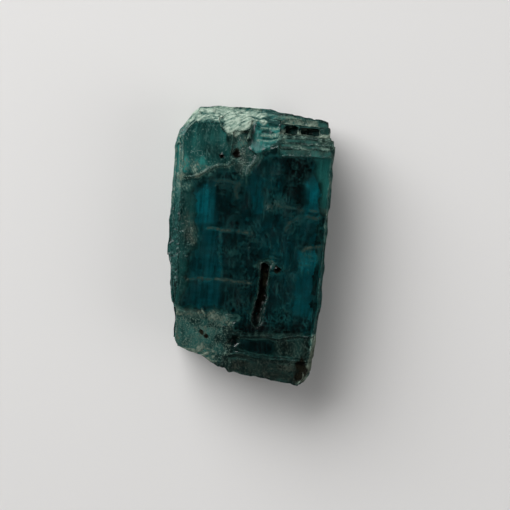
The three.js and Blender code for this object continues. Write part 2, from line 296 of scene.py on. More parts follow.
# Edges and the groove as lines, and the pits as X, Y and reach.
SHEET_EDGE = [
    (-8.3, 7.3), (-7.1, 7.4), (-6.3, 7.7), (-5.4, 8.2), (-4.7, 8.6), (-3.8, 8.9), (-2.7, 9.1),
    (-2.4, 9.7), (-2.2, 10.4),
]
SCAR_EDGE = [(3.1, 12.9), (2.3, 12.1), (1.4, 11.3), (0.8, 10.5), (0.3, 9.6), (-0.3, 8.8), (-0.8, 7.5)]
GROOVE = [(2.5, -2.5), (2.5, -4.0), (2.4, -6.2), (2.0, -7.9), (1.9, -9.5)]
FACET_SIDE = [(-0.3, -9.0), (-1.2, -9.8), (-1.1, -11.5), (-0.9, -13.0), (-1.5, -15.5)]
SOFT_EDGES = (
    SHEET_EDGE, SCAR_EDGE, FACET_SIDE, [(-8, -8.6), (-4, -9), (-2.4, -8.2), (-0.3, -9)],
    [(-1, -11.1), (2.6, -10.9), (7.3, -10.5)], [(-1.4, -13.4), (0.9, -13.2), (3.8, -13.6), (9, -13.4)],
)
FOOT_LEFT_RIM = [(-8.0, -11.6), (-7.4, -12.8), (-6.7, -13.0), (-5.1, -13.2), (-3.9, -13.7), (-2.4, -14.7)]
FOOT_RIGHT_RIM = [(9.4, -10.6), (9.2, -12.6), (8.8, -14.6), (8.3, -15.9)]
HEAD_RIGHT_RIM = [(9.2, 13.0), (9.5, 12.0), (9.5, 6.0), (9.4, 1.0)]
PITS = [(-2.1, 10.5, 0.42), (-3.8, 10.1, 0.2), (4.0, -2.8, 0.32), (-4.4, -11.0, 0.25), (-3.8, -11.4, 0.2)]

# Small patches, by what they look like. A shape's place in its list seeds how its edge is splintered.
PALE_PATCHES = (
    FACET_TOP,
    [(-6.4, -10.4), (-3.4, -10.4), (-3.6, -11.6), (-6.0, -11.8)],
    [(-8.2, -9.0), (-7.3, -9.0), (-6.8, -12.2), (-8.0, -12.2)],
    [(-7.4, -12.3), (-3.4, -12.8), (-3.6, -14.0), (-7.4, -13.4)],
    [(-9.2, 10.2), (-7.8, 9.4), (-5.4, 9.4), (-5.6, 8.0), (-9.2, 7.4)],
    [(-2.6, 12.4), (-1.0, 12.2), (-1.4, 10.8), (-2.2, 11.0)],
    [(-9.6, 12.6), (-8.6, 12.8), (-8.7, 8.0), (-9.8, 8.0)],
    [(-9.8, 11.8), (-8.7, 11.8), (-8.1, 14.0), (-9.4, 14.4)],
    STAIR_TOP,
)
BEIGE_FLECKS = (
    [(2.9, 5.3), (3.6, 5.3), (3.5, 4.7), (2.9, 4.7)],
    [(3.0, -1.4), (3.7, -1.4), (3.6, -2.4), (3.1, -2.4)],
)
BEIGE_PATCHES = (
    *BEIGE_FLECKS,
    [(6.6, 0.5), (9.4, 0.6), (9.4, -0.1), (6.6, -0.6)],
    [(-3.6, -8.8), (-1.4, -8.8), (-1.2, -9.6), (-3.4, -9.8)],
    FACET_SHADE,
    FOOT_SOIL,
    [(-2.4, 12.2), (-0.8, 12.2), (-0.6, 9.0), (-1.8, 8.6)],
)
DARK_PATCHES = (
    [(-7.2, -9.3), (-4.8, -9.3), (-4.9, -10.3), (-7.2, -10.5)],
    FACET_SHADE,
    [(-8.0, 14.0), (-4.4, 14.0), (-4.6, 12.3), (-8.0, 12.3)],
    [(-1.6, 10.8), (-0.4, 10.7), (-0.6, 9.6), (-1.6, 9.8)],
    [(-4.6, 10.6), (-3.4, 10.6), (-3.4, 9.6), (-4.6, 9.6)],
    [(-0.9, 13.2), (-0.1, 13.2), (0.0, 12.3), (-1.2, 12.3)],
    [(-2.8, 1.0), (0.8, 1.0), (1.5, -1.6), (1.2, -8.4), (-2.4, -8.0), (-3.0, -2.0)],
    [(-4.4, 6.8), (-1.0, 6.6), (-0.6, 2.0), (-4.4, 2.4)],
    [(3.2, 3.6), (6.0, 3.8), (5.6, 0.6), (3.2, 0.4)],
    [(-6.2, 10.6), (-4.4, 10.8), (-3.2, 9.6), (-5.0, 8.9), (-6.2, 8.8)],
)
CURLY_PATCHES = (
    [(-2.4, -0.4), (-0.6, -0.2), (-0.3, -2.4), (-2.2, -2.8)],
    [(-2.4, -3.6), (0.6, -3.8), (1.0, -5.4), (-1.8, -5.2)],
    [(-1.6, -6.6), (0.2, -7.0), (0.0, -8.4), (-1.4, -8.2)],
    [(-2.6, 8.6), (-0.7, 8.4), (-1.0, 5.6), (-2.0, 4.6)],
    [(2.3, 6.0), (4.0, 5.8), (4.2, 4.4), (2.6, 4.2)],
    [(4.5, 3.2), (6.2, 3.4), (5.8, 1.4), (4.6, 1.4)],
    [(4.2, 10.4), (7.2, 10.4), (7.0, 7.4), (4.4, 7.6)],
    [(4.6, -7.6), (5.8, -7.6), (5.6, -10.0), (4.4, -9.6)],
)

# Pale lines on the broad face, each with its strength and width.
CRACKS = (
    ([(-4.9, 1.3), (-2.6, 1.4), (0.6, 1.2)], 0.28, 0.2),
    ([(-6.6, -4.8), (-4.4, -4.6), (-2.2, -4.6), (-0.2, -4.8), (1.2, -4.6)], 0.28, 0.22),
    ([(-4.3, 7.1), (-2.6, 7.3), (-1.4, 6.9)], 0.14, 0.2),
    ([(-1.4, 7.0), (-1.9, 6.2), (-1.5, 5.2)], 0.14, 0.3),
    ([(4.6, 1.8), (4.9, 2.9), (5.7, 3.4), (6.1, 3.8), (7.4, 3.7), (9.1, 3.9)], 0.16, 0.25),
    ([(6.7, -0.4), (7.3, 0.1), (8.2, 0.1), (9.2, 0.3)], 0.3, 0.2),
    ([(2.6, 4.6), (5.8, 4.5), (9.0, 4.6)], 0.18, 0.2),
    ([(-7.9, -8.6), (-6.2, -8.7), (-4.4, -8.6)], 0.3, 0.4),
)
CRACK_LINES = [line for line, *_ in CRACKS]
PALE_LINES = (
    *CRACKS,
    # the middle
    ([(-3.1, 0.9), (-3.0, -1.6), (-2.5, -4.4)], 0.12, 0.18),
    # the upper left sheet
    ([(-6.9, 12.1), (-4.6, 12.1), (-2.7, 12.6)], 0.16, 0.2),
    ([(-6.0, 11.0), (-4.4, 11.2), (-3.0, 12.8)], 0.16, 0.3),
    ([(-6.6, 10.9), (-4.0, 10.9)], 0.14, 0.2),
    ([(-6.6, 14.3), (-4.2, 14.2)], 0.4, 0.3),
    ([(-6.4, 14.0), (-6.5, 11.0)], 0.1, 0.2),
    ([(-2.8, 14.2), (-2.8, 11.4), (-2.6, 9.6)], 0.14, 0.25),
    # round the groove, and the left side
    ([(1.3, -2.7), (1.9, -2.4), (2.3, -2.2), (2.7, -2.5)], 0.4, 0.25),
    ([(3.1, -1.4), (3.4, -2.3)], 0.25, 0.35),
    ([(3.4, -3.2), (4.2, -3.2)], 0.2, 0.18),
    ([(-1.6, -1.3), (-0.9, -1.0)], 0.22, 0.35),
    ([(-8.4, 1.8), (-7.6, 1.1), (-6.3, 1.2)], 0.2, 0.25),
    # the foot
    ([(-7.8, -9.9), (-7.9, -11.6), (-7.2, -12.8)], 0.35, 0.5),
    ([(-6.9, -10.9), (-5.2, -10.4), (-4.3, -10.4)], 0.24, 0.3),
    ([(1.2, -10.8), (4.2, -10.6), (6.2, -10.7)], 0.12, 0.4),
    ([(-1.4, -13.3), (0.4, -13.2), (2.6, -13.3)], 0.18, 0.18),
    # the stairs at the head, whose ledge edges are painted pale as highlights
    ([(3.0, 15.0), (5.6, 14.8), (8.2, 14.6)], 0.6, 0.3),
    ([(2.9, 13.1), (5.4, 13.2), (8.9, 13.2)], 0.7, 0.35),
    ([(3.0, 11.8), (4.4, 12.0), (6.4, 11.8), (9.2, 12.0)], 0.6, 0.3),
    ([(3.1, 12.4), (5.0, 12.5), (9.2, 12.4)], 0.4, 0.4),
    ([(3.0, 11.1), (6.2, 11.2), (9.2, 11.1)], 0.25, 0.3),
    ([(3.2, 15.5), (5.0, 15.3), (7.8, 15.2)], 0.3, 0.2),
    ([(3.0, 15.9), (5.2, 15.75), (7.6, 15.5)], 0.5, 0.25),
    ([(1.8, 16.1), (3.4, 16.1), (5.4, 15.95)], 0.3, 0.25),
    ([(3.0, 12.7), (4.6, 12.9), (7.0, 12.7), (9.2, 12.8)], 0.3, 0.2),
    ([(3.4, 11.6), (5.4, 11.5), (7.4, 11.65), (9.2, 11.5)], 0.3, 0.2),
    # the scar and the sheet
    ([(1.0, 10.2), (2.2, 10.6), (3.0, 10.7), (6.0, 10.7)], 0.1, 0.2),
    ([(-2.6, 13.0), (-1.6, 12.2), (-0.4, 11.6)], 0.2, 0.5),
    ([(-3.0, 13.4), (-4.2, 12.4), (-6.0, 11.0)], 0.2, 0.3),
    ([(-3.6, 12.8), (-5.2, 11.6)], 0.18, 0.3),
    ([(-9.0, 9.9), (-7.8, 9.2), (-6.4, 8.6), (-4.6, 9.0)], 0.24, 0.6),
    # the worn facet
    ([(-7.8, -8.9), (-6.4, -9.1), (-4.4, -8.9)], 0.2, 0.3),
    ([(-7.4, -12.4), (-5.4, -12.6), (-3.4, -13.0)], 0.25, 0.6),
    ([(-5.8, -11.2), (-4.6, -11.6), (-3.4, -11.0)], 0.22, 0.5),
    # the grid over the lower right window
    ([(6.5, -0.9), (8.7, -0.8)], 0.14, 0.14),
    ([(6.4, -1.5), (8.7, -1.4)], 0.12, 0.14),
    ([(6.4, -2.1), (8.6, -2.0)], 0.14, 0.14),
    ([(7.0, -0.2), (6.9, -2.9)], 0.12, 0.14),
    ([(7.7, -0.2), (7.6, -2.9)], 0.12, 0.14),
)

# The cleavage film inside the crystal is painted bright where the crystal glows, a painted glow.
# Each glowing place has an outline, how bright it is, and how soft and how splintered its edge is.
LEFT_WINDOWS = (
    ([(-5.3, 7.3), (-4.2, 7.2), (-4.0, 1.8), (-6.6, 1.7), (-7.4, 5.0)], 1.1, 0.9, 0.4),
    ([(-5.6, 6.4), (-4.7, 6.0), (-4.6, 2.8), (-6.3, 2.7), (-6.7, 5.0)], 2.3, 0.8, 0.4),
    ([(-0.4, 8.9), (0.4, 9.6), (1.6, 7.0), (1.6, 3.6), (0.5, 3.4), (-0.2, 6.2)], 0.44, 0.5, 0.4),
    ([(-6.5, 2.0), (-3.1, 1.4), (-3.0, -1.6), (-2.5, -4.5), (-6.5, -4.7)], 0.46, 0.5, 0.3),
    ([(-6.8, -4.9), (-2.6, -4.8), (-3.2, -8.2), (-7.0, -8.3)], 0.4, 0.6, 0.5),
)
MIDDLE_FILMS = (
    ([(-0.9, 3.4), (1.7, 3.4), (1.6, -1.6), (-0.7, -1.2)], 0.04, 0.5, 0.6),
    ([(1.6, 10.2), (3.6, 10.2), (3.8, 6.4), (2.0, 6.2)], 0.16, 0.8, 0.6),
    ([(1.4, 3.0), (6.2, 3.4), (6.2, -1.6), (1.6, -1.6)], 0.12, 1.0, 0.8),
)
RIGHT_WINDOWS = (
    ([(6.8, 10.8), (9.2, 10.8), (9.2, 3.6), (6.9, 3.8)], 0.75, 0.8, 0.5),
    ([(6.6, 8.0), (8.3, 7.8), (8.2, 5.0), (6.8, 5.4)], 1.65, 1.8, 0.8),
    ([(6.2, -0.4), (8.7, -0.2), (8.6, -3.0), (6.3, -2.8)], 0.9, 0.5, 0.4),
    ([(6.2, -2.8), (8.6, -2.8), (8.4, -8.2), (6.2, -8.2)], 0.4, 0.6, 0.5),
)
EDGE_FILMS = (
    ([(2.8, -0.8), (6.2, -1.0), (6.0, -7.5), (2.8, -8.2)], 0.14, 0.8, 0.6),
    ([(-8.6, 13.6), (-6.8, 13.6), (-6.8, 7.8), (-8.6, 7.8)], 0.9, 0.6, 0.5),
    ([(-6.8, 13.6), (-3.2, 13.6), (-3.0, 9.8), (-6.8, 8.4)], 0.6, 0.5, 0.5),
    ([(-8.6, 6.8), (-6.8, 6.8), (-6.8, -7.8), (-8.2, -7.8)], 0.4, 0.8, 0.5),
    ([(-0.4, 15.6), (3.0, 15.6), (3.0, 12.6), (0.4, 10.7), (-0.6, 11.4)], 1.1, 0.4, 0.2),
    ([(6.4, 3.8), (8.8, 3.8), (8.8, 0.6), (6.4, 0.2)], 0.25, 0.8, 0.6),
)
BRIGHT_FILMS = LEFT_WINDOWS + MIDDLE_FILMS + RIGHT_WINDOWS + EDGE_FILMS
CLEAR_WINDOWS = [outline for outline, *_ in LEFT_WINDOWS + RIGHT_WINDOWS]


# ---------------------------------------------------------------- the crystal's surface

LEDGE_RISE = 1.3  # the narrow sides climb in cleavage ledges this high
LEDGE_TREAD = LEDGE_RISE * math.tan(math.radians(16))  # and this wide, which makes up the sides' lean
WOBBLE = 0.12  # how far broken edges stray sideways from straight lines
SOFTENING_ROUNDS = 24  # how often soft edges are averaged with what lies round them
REMESH_DEPTH = 8  # the grid of the resampling has 2 ** 8 cells along each side
REMESH_FILL = 0.84  # and the crystal fills this share of its side, so a cell is about 0.15 mm


def apply_modifiers(piece):
    depsgraph = bpy.context.evaluated_depsgraph_get()
    piece.data = bpy.data.meshes.new_from_object(piece.evaluated_get(depsgraph))
    piece.modifiers.clear()


def resampled(node):
    """A copy of the CAD node with its corners kept and its faces cut into cells of about 0.15 mm."""
    mesh = node.data.copy()
    piece = bpy.data.objects.new("kyanite_surface", mesh)
    bpy.context.scene.collection.objects.link(piece)
    remesh = piece.modifiers.new("resample", "REMESH")
    remesh.mode = "SHARP"
    remesh.octree_depth = REMESH_DEPTH
    remesh.scale = REMESH_FILL
    remesh.use_remove_disconnected = False
    apply_modifiers(piece)
    bpy.data.meshes.remove(mesh)
    return piece


def coordinates(mesh):
    flat = np.empty(len(mesh.vertices) * 3, np.float32)
    mesh.vertices.foreach_get("co", flat)
    return flat.reshape(-1, 3).astype(float) / MM


def set_coordinates(mesh, points):
    mesh.vertices.foreach_set("co", (points * MM).astype(np.float32).ravel())
    mesh.update()


def normals(mesh):
    flat = np.empty(len(mesh.vertices) * 3, np.float32)
    mesh.vertex_normals.foreach_get("vector", flat)
    return flat.reshape(-1, 3).astype(float)


def neighbour_mean(mesh, values, rounds):
    """Each vertex's value averaged, this many times, with those it shares an edge with."""
    edges = np.empty(len(mesh.edges) * 2, np.int32)
    mesh.edges.foreach_get("vertices", edges)
    a, b = edges.reshape(-1, 2).T
    count = np.bincount(np.concatenate([a, b]), minlength=len(values)).astype(float)
    flat = values.reshape(len(values), -1)
    for _ in range(rounds):
        total = np.zeros_like(flat)
        for column in range(flat.shape[1]):
            for here, there in ((a, b), (b, a)):
                total[:, column] += np.bincount(here, flat[there, column], len(flat))
        flat = (flat + total) / (1 + count)[:, None]
    return flat.reshape(values.shape)


def convexity(mesh, rounds):
    """How far each vertex stands out of its surroundings, in millimetres."""
    points = coordinates(mesh)
    return np.sum((points - neighbour_mean(mesh, points, rounds)) * normals(mesh), axis=1)


def relief(points, facing):
    """How far cleavage and fracture cut the surface back from the CAD faces, along X, Y and Z."""
    across, along, up = facing.T
    broad = smooth(np.abs(up), 0.75, 0.95)
    narrow = smooth(np.abs(across), 0.5, 0.8)
    ends = smooth(np.abs(along), 0.55, 0.85)

    plates = 0.6 * noise(jagged(points, 0.5, 12), (1.9, 8, LONG), 1)
    plates += 0.4 * noise(points, (0.7, 3.2, LONG), 2)
    broad_depth = 0.16 * terraces(plates, 7, 0.25)
    broad_depth += 0.025 * noise(points, (0.4, 9, LONG), 3) + 0.02 * noise(points, (0.22, 4, LONG), 4)

    climb = points[:, 2] / LEDGE_RISE + 1.2 * noise(points, (LONG, 9, LONG), 5)
    climb += 0.2 * noise(points, (LONG, 2.4, LONG), 6)
    narrow_depth = 0.8 * LEDGE_TREAD * (1 - climb % 1) + 0.05 * noise(points, (LONG, 2, 0.22), 7)

    blocks = 0.6 * noise(points, (1.5, LONG, 1.1), 8) + 0.4 * noise(points, (0.6, LONG, 0.45), 9)
    ends_depth = 0.15 * terraces(smooth(blocks, 0.45, 0.9), 5, 0.2)
    ends_depth += 0.05 * noise(points, (0.3, 1.2, 0.3), 10)

    depths = np.stack([narrow * narrow_depth, ends * ends_depth, broad * broad_depth], axis=1)
    return -np.sign(facing) * depths


def carve(mesh):
    """Cuts the resampled surface into the striae, plates, ledges and splinters of a broken crystal."""
    points = coordinates(mesh)
    facing = normals(mesh)
    front = above_mid(points)

    soft = strongest(points, front, each(SOFT_EDGES, 1.0, 0.9), near_line)
    soft = most(soft, strongest(points, front, ((RIPPLES, 0.8, 0.6, 0.2),), patch))
    points += soft[:, None] * (neighbour_mean(mesh, points, SOFTENING_ROUNDS) - points)

    worn = smooth(convexity(mesh, 3), 0.02, 0.1) * (0.02 + 0.1 * noise(points, (0.7, 0.9, 0.7), 11))
    rubble = strongest(points, front, ((HEAD_BREAK, 1.0, 0.5, 0.3), (WHITE_FLAKE, 0.35, 0.6, 0.3)), patch)
    crumbs = 0.1 * shards(points, (0.9, 0.6, 0.8), 13) + 0.07 * shards(points, (0.3, 0.5, 0.4), 23)
    worn += rubble * crumbs
    ragged = strongest(points, front, ((GROOVE, 1.0, 1.3), (FACET_SIDE, 0.6, 0.8)), near_line)
    worn += ragged * 0.16 * shards(points, (0.5, 0.8, 0.5), 33)
    worn += strongest(points, front, each(RIPPLE_TROUGHS, 0.14, 0.45), near_line)

    points = points + relief(points, facing) - worn[:, None] * facing
    for axis, seed in ((0, 41), (1, 42)):
        points[:, axis] += WOBBLE * (2 * noise(points, (0.8, 1.1, 0.8), seed) - 1)
    set_coordinates(mesh, np.clip(points, LOW, HIGH))


# ---------------------------------------------------------------- what the surface is like


class Face:
    """The crystal's vertices, and how much each one lies on the places that the looks tell apart."""

    def __init__(self, points, facing, stands_out):
        self.points = points
        self.up = facing[:, 2]
        self.stands_out = stands_out
        self.seen = strayed(points)

        # From here on every value runs from 0 to 1.
        self.mottle = noise(points, (0.9, 1.8, 0.9), 21)
        self.front = above_mid(points)
        self.narrow = smooth(np.abs(facing[:, 0]), 0.35, 0.75)
        self.ends = smooth(np.abs(facing[:, 1]), 0.35, 0.75)
        self.head_end = smooth(points[:, 1], 15, 15.8)
        # The upper left half, which faces the light. Its sides and head end get painted light there: a
        # paler crust and less darkness.
        self.lit_upper_left = (1 - smooth(self.seen[:, 0], -1, 1)) * smooth(self.seen[:, 1], 0, 8)
        self.rippled = self.patches((RIPPLES, 1.0, 0.5, 0.3))
        self.facet = self.patches((LOWER_LEFT_FACET, 1.0, 0.6, 0.5))

        # The steep side of a step, apart from the outermost ones and the rough places. Its matte cover is
        # painted dark as shade.
        outer = self.narrow * smooth(np.abs(points[:, 0]), 7.6, 8.4)
        riser = self.front * (1 - smooth(self.up, 0.92, 0.985)) * (1 - self.rippled) * (1 - 0.8 * outer)
        self.riser = riser * (1 - most(0.8 * self.facet, self.patches((HEAD_BREAK, 1.0, 0.6, 0.4))))

        # Facets that tilt beside an edge. They are covered, or they would mirror the light as a white line,
        # and the cover is partly painted dark as shade.
        lips = strongest(points, self.front, each((GROOVE, *SOFT_EDGES), 1.0, 1.3), near_line)
        self.lips = lips * ((1 - smooth(self.up, 0.975, 0.998)) * (1 - self.rippled))

        # Dirt packed in the pits and the groove, thickest where the groove is deep and towards the head.
        self.pitted = self.front * in_pits(points)
        sunk = smooth(TOP - points[:, 2], 0.2, 0.45)
        packed = (0.2 + 0.8 * sunk) * self.lines((GROOVE, 1.0, 0.8))
        packed *= 0.5 + 0.5 * smooth(points[:, 1] + 4 * noise(points, (0.4, 0.8, LONG), 29), -6, -4)
        self.grime = most(packed, self.pitted)
        self.clean = 1 - self.grime

    def patches(self, *shapes):
        """The strongest of several patches: outline, strength, width of the edge, how splintered it is."""
        return strongest(self.seen, self.front, shapes, patch)

    def lines(self, *shapes):
        """The strongest of several lines: line, strength, reach."""
        return strongest(self.seen, self.front, shapes, near_line)

    def strokes(self, *shapes):
        """The strongest of several broken lines: line, strength, width."""
        return strongest(self.seen, self.front, shapes, stroke)


def in_pits(points):
    """1 in the small pits of the broad face, which have ragged rims, and 0 outside."""
    ragged = 0.7 + 0.9 * noise(points, (0.35, 0.3, LONG), 34)
    deepest = np.zeros(len(points))
    for x, y, reach in PITS:
        away = np.hypot(points[:, 0] - x, points[:, 1] - y)
        deepest = most(deepest, 1 - smooth(away, 0.6 * reach * ragged, 1.3 * reach * ragged))
    return deepest


def frost_on(face):
    """How crusted with pale splinters the surface is, with painted highlights along the head's upper rim
    and the stairs' ledges, and painted light on the upper left's sides and head end.
    """
    frost = most(
        face.patches(
            (HEAD_BREAK, 1.32, 0.7, 0.5), (HEAD_TIP, 0.85, 0.8, 0.5), (HEAD_CORNER, 0.9, 0.5, 0.5),
            (STAIR_TOP, 0.55, 0.6, 0.4), (WHITE_FLAKE, 0.46, 1.2, 0.6), (GREY_CHIP, 0.24, 1.4, 0.9),
            (LOWER_LEFT_FACET, 0.2, 1.0, 0.8), (LEFT_FLAKE, 0.28, 1.6, 0.8),
            *each(PALE_PATCHES, 0.32, 1.2, 0.9), (FACET_TOP, 0.44, 0.6, 0.6),
            (SHEET_SCUFF, 0.42, 1.0, 0.8), (BELOW_SHEET, 0.42, 1.2, 0.9),
        ),
        # White streaks, brightest as painted highlights along the upper rim, and the stairs' ledges painted
        # pale as highlights.
        face.lines(
            *each(WHITE_STREAKS, 1.35, 0.7), (FOOT_RIGHT_RIM, 0.85, 1.5),
            (HEAD_RIGHT_RIM, 0.4, 0.8), *each(STAIR_EDGES, 0.85, 0.5),
        ),
        face.strokes((FOOT_LEFT_RIM, 0.8, 0.9), (SHEET_EDGE, 0.3, 1.1), (SCAR_EDGE, 0.2, 0.8)),
        # Painted light: a paler crust on the sides and head end at the upper left, which faces the light.
        face.lit_upper_left * (0.5 * face.narrow + 0.8 * smooth(face.seen[:, 1], 13, 15)),
    )
    frost *= 0.5 + noise(face.points, (1.3, 0.7, 1.1), 26)
    fine = noise(face.points, (0.25, 0.5, 0.25), 22)
    broken = smooth(noise(face.points, (1.6, 2.6, 1.6), 25), 0.4, 0.7)
    torn = torn_edges(face)
    frost = most(frost, 0.45 * smooth(face.stands_out, 0.01, 0.05) * fine * broken * (1 - torn))
    return frost * (1 - face.lines((GROOVE, 1.0, 1.3)))


def torn_edges(face):
    """1 along the edges of the upper left sheet and the rippled scar."""
    return face.lines((SHEET_EDGE, 0.8, 1.2), (SCAR_EDGE, 0.8, 1.2))


def marks_on(face):
    """How strong the single pale lines are, with painted highlights on the ripples' crests and the stairs'
    ledges.
    """
    crests = face.lines(*each(RIPPLE_CRESTS, 0.75, 0.3))
    return most(face.strokes(*PALE_LINES) * face.clean, crests)


def curls_on(face):
    """How strong the curly scratches are."""
    curls = most(
        face.patches(
            (LEFT_MARGIN, 0.3, 1.2, 1.0), (LEFT_FLAKE, 0.9, 1.2, 0.8), (GREY_CHIP, 0.6, 0.8, 0.8),
            (UPPER_LEFT_SHEET, 0.3, 1.0, 0.8), (LOWER_LEFT_FACET, 0.8, 0.8, 0.8),
            *each(CURLY_PATCHES, 0.25, 1.6, 0.8),
            *each(BEIGE_FLECKS, 0.8, 0.8, 0.5),
            (FOOT_SOIL, 0.5, 0.8, 0.8), (FOOT_END, 0.25, 0.6, 0.6),
        ),
        face.lines((SHEET_EDGE, 0.8, 1.4)),
        0.5 * face.narrow,
    )
    return curls * face.clean


def haze_on(face):
    """How thick the thin cloudy cover is."""
    veils = face.patches(
        (UPPER_LEFT_SHEET, 0.4, 0.6, 0.6), (GREY_CHIP, 0.3, 0.9, 0.6), (LEFT_MARGIN, 0.18, 0.9, 0.8),
        (LEFT_FLAKE, 0.24, 1.2, 0.5), (HEAD_STAIRS, 0.5, 0.3, 0.2), (FOOT_END, 0.3, 0.8, 0.6),
        (FOOT_SOIL, 0.25, 1.2, 0.8), *each(PALE_PATCHES, 0.75, 1.2, 0.9),
        (RIGHT_MARGIN, 0.3, 0.8, 0.6),
    )
    haze = most(
        veils * (0.3 + 1.4 * face.mottle),
        0.85 * most(face.rippled, face.head_end, face.facet),
        0.9 * most(face.narrow, face.ends),
        face.riser,
        0.35 * smooth(-face.up, 0.55, 0.9),
    )
    return most(haze * face.clean, face.lips)


def wear_on(face):
    """How strong the fine straight scratches are."""
    wear = most(
        0.04 + 0.3 * smooth(noise(face.points, (2.6, 3.4, 2.6), 27), 0.3, 0.8),
        face.patches(
            (UPPER_LEFT_SHEET, 0.9, 1.0, 0.8), (LEFT_MARGIN, 0.8, 1.0, 1.0),
            (LOWER_LEFT_FACET, 1.0, 0.8, 0.6), (MIDDLE_VEIL, 0.2, 1.2, 1.0), (GREY_CHIP, 1.0, 0.8, 0.8),
            (RIGHT_VEIL, 0.7, 1.2, 1.0), (HEAD_STAIRS, 0.6, 0.4, 0.3), (FOOT_END, 0.7, 0.6, 0.4),
        ),
    )
    wear *= 1 - face.patches(*each(CLEAR_WINDOWS, 0.7, 1.0, 0.6))
    return most(wear, 0.6 * face.narrow, 0.9 * face.head_end) * face.clean


def stain_on(face):
    """How thick the dirt is: packed in the groove and the pits, and in blotches on the foot's right."""
    blotches = 0.5 * noise(face.points, (0.8, 2.0, LONG), 28)
    blotches += 0.5 * noise(face.points, (0.3, 0.7, LONG), 30)
    soiled = face.patches(
        (BROWN_CORNER, 1.4, 1.8, 0.8), (FOOT_BAND, 0.3, 1.6, 0.6), (FOOT_END, 0.25, 1.6, 0.6)
    )
    return most(face.grime, smooth(blotches, 0.2, 0.9) * soiled)


def darkness_of(face):
    """How dark the crystal and its cover are, most of it painted shade."""
    sides = most(face.narrow, face.ends)
    # Painted shade on the unlit zones, the foot and the step risers. The sides and ends are darker too,
    # less so at the upper left, where they are painted lighter as they face the light.
    shaded = most(
        face.patches(
            (NIGHT, 0.8, 1.2, 0.8), (LOWER_NIGHT, 1.0, 1.0, 0.8), (FOOT_BAND, 0.5, 0.8, 0.5),
            (FOOT_END, 0.62, 0.8, 0.5),
        ),
        (0.82 - 0.2 * face.lit_upper_left) * sides,
        np.minimum(3 * face.riser, 1),
    )
    streaks = 0.5 * noise(face.points, (1.8, 0.6, LONG), 35)
    streaks += 0.5 * noise(face.points, (0.5, 0.9, LONG), 36)
    # Painted shade also beside edges, in the ripples' troughs and the stairs' gaps, and on the right sides,
    # away from the light. The dark patches, the facet's streaks, the head end's lower right and the pits
    # are darker as given.
    dark = most(
        shaded * (1 - 0.3 * torn_edges(face)),
        face.lips * (0.5 + 0.5 * face.mottle),
        face.patches(*each(DARK_PATCHES, 0.45, 1.0, 0.6)),
        face.lines(*each(RIPPLE_TROUGHS, 0.8, 0.34)),
        face.lines(*each(STAIR_GAPS, 0.8, 0.36)),
        0.6 * (1 - face.front) * face.head_end * smooth(face.points[:, 0], 1, 3),
        0.85 * smooth(face.points[:, 0], -1, 2) * face.narrow,
        face.facet * (0.2 + 0.7 * smooth(streaks, 0.3, 0.7)),
        face.pitted,
    )
    return dark * (1 - 0.7 * face.patches(*each(PALE_PATCHES, 1.0, 1.0, 0.9)))


def warmth_of(face):
    """How much the cover turns from green to grey, beige or brown."""
    return most(
        face.patches(
            (LEFT_FLAKE, 0.7, 1.2, 0.8), (BROWN_CORNER, 0.6, 1.6, 0.6), (LOWER_LEFT_FACET, 0.5, 1.2, 0.6),
            (HEAD_STAIRS, 0.5, 0.6, 0.4), (FOOT_END, 0.85, 1.2, 0.6), (GREY_CHIP, 0.4, 1.2, 0.6),
            *each(BEIGE_PATCHES, 0.6, 0.8, 0.5),
        ),
        face.lines(
            (FOOT_RIGHT_RIM, 1.0, 1.0), (GROOVE, 0.6, 1.6), *each(CRACK_LINES, 0.7, 0.8)
        ),
        0.8 * face.lips,
    )


# Each layer is stored in the mesh under its name. The crystal's material reads them in this order.
LAYERS = {
    "frost": frost_on,
    "marks": marks_on,
    "curls": curls_on,
    "haze": haze_on,
    "wear": wear_on,
    "stain": stain_on,
    "dark": darkness_of,
    "warm": warmth_of,
}


def store(mesh, name, values):
    attribute = mesh.attributes.new(name, "FLOAT", "POINT")
    attribute.data.foreach_set("value", np.clip(values, 0, 1).astype(np.float32))


# ---------------------------------------------------------------- materials


